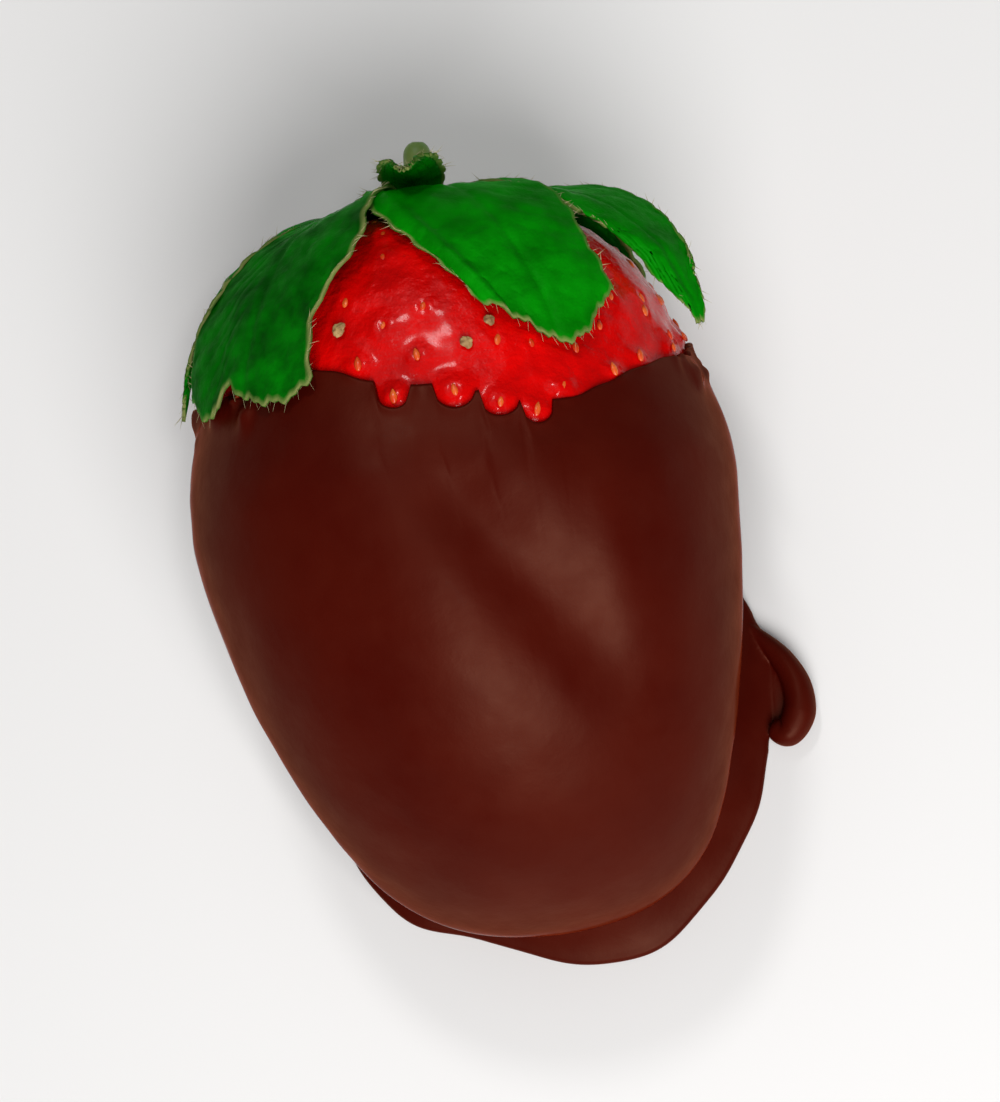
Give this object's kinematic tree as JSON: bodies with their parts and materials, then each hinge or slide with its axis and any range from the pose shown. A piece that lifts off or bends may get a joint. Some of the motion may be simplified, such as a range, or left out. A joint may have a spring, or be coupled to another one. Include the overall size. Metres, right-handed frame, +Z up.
{
  "type": "chocolate coated strawberry",
  "caption": "Large fresh strawberry dipped in dark chocolate up to its shoulders, with a flat foot and a curled drip of set chocolate, and a green leafy crown left bare.",
  "frame": {"origin": "on the flat underside of the chocolate foot, at the middle of the whole part's footprint box", "axes": "+Y along the berry from its tip to its leafy crown, +Z up from the flat foot through the shown upper side, +X across"},
  "size_m": [0.0453, 0.0662, 0.036],
  "materials": {
    "flesh": "wet red fruit skin, glossy, with pale yellow seeds set in dimples",
    "chocolate": "dark milk chocolate, smooth satin",
    "leaf": "green leaf with veins and pale hairy margins",
    "stalk": "pale green hairy stem"
  },
  "bodies": {
    "root": {"berry": "flesh", "coat": "chocolate", "calyx": "leaf", "stalk": "stalk"}
  },
  "joints": []
}
